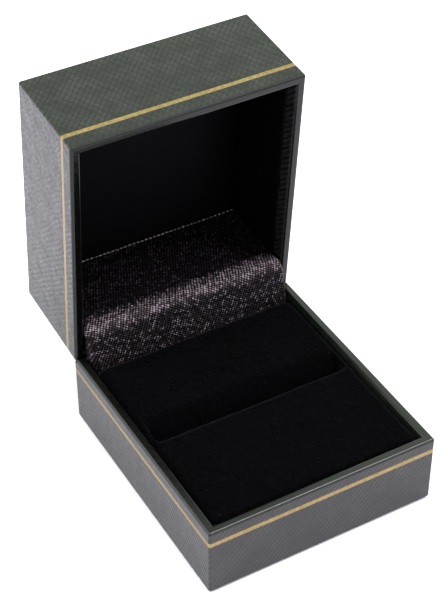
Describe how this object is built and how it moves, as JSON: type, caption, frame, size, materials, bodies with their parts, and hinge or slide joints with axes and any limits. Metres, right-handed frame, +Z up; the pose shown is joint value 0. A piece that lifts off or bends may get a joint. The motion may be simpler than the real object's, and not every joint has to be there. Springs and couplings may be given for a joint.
{
  "type": "ring box",
  "caption": "Leatherette ring box with a spring-hinged lid, gold line round each half, slotted velvet ring insert, padded satin lid lining and a satin hinge cover.",
  "frame": {"origin": "centre of the box base's underside, on the surface it stands on", "axes": "+Z up, +Y from the front wall to the hinge, +X to the right seen from the front"},
  "size_m": [0.048, 0.0744, 0.0699],
  "materials": {
    "leatherette": "black leatherette with a fine crosshatched grain, semi-matt",
    "shell_plastic": "moulded black plastic, hidden under the leatherette",
    "gold_foil": "hot-stamped gold foil line",
    "panel_card": "black flocked card on the underside",
    "inner_card": "plain stiff card, hidden",
    "foam": "soft open-cell foam, hidden under the velvet",
    "velvet": "black flocked velvet",
    "hinge_steel": "plated steel",
    "spring_steel": "blued spring steel",
    "hinge_satin": "shiny black satin with a fine dotted weave",
    "lining": "black satin-faced lining",
    "wadding": "thin polyester wadding, hidden",
    "lid_satin": "black satin with a soft sheen"
  },
  "bodies": {
    "base": {"base_shell": "shell_plastic", "base_wrap": "leatherette", "base_gold_line": "gold_foil", "base_bottom_panel": "panel_card", "insert_card": "inner_card", "insert_foam_front": "foam", "insert_foam_rear": "foam", "insert_velvet": "velvet", "hinge_leaf_base": "hinge_steel", "hinge_pin": "hinge_steel", "hinge_rivets_base": "hinge_steel", "snap_spring": "spring_steel", "hinge_cover_satin": "hinge_satin"},
    "lid": {"lid_shell": "shell_plastic", "lid_wrap": "leatherette", "lid_gold_line": "gold_foil", "lid_side_lining": "lining", "lid_pad_card": "inner_card", "lid_pad_wadding": "wadding", "lid_pad_satin": "lid_satin", "hinge_leaf_lid": "hinge_steel", "hinge_rivets_lid": "hinge_steel", "hinge_cover_satin_lid": "hinge_satin"}
  },
  "joints": [
    {"name": "lid_hinge", "type": "hinge", "parent": "base", "child": "lid", "pos_m": [0, 0.0258, 0.0157], "axis": [1, 0, 0], "range_deg": [0, 85], "deforming": ["snap_spring", "hinge_cover_satin"]}
  ]
}
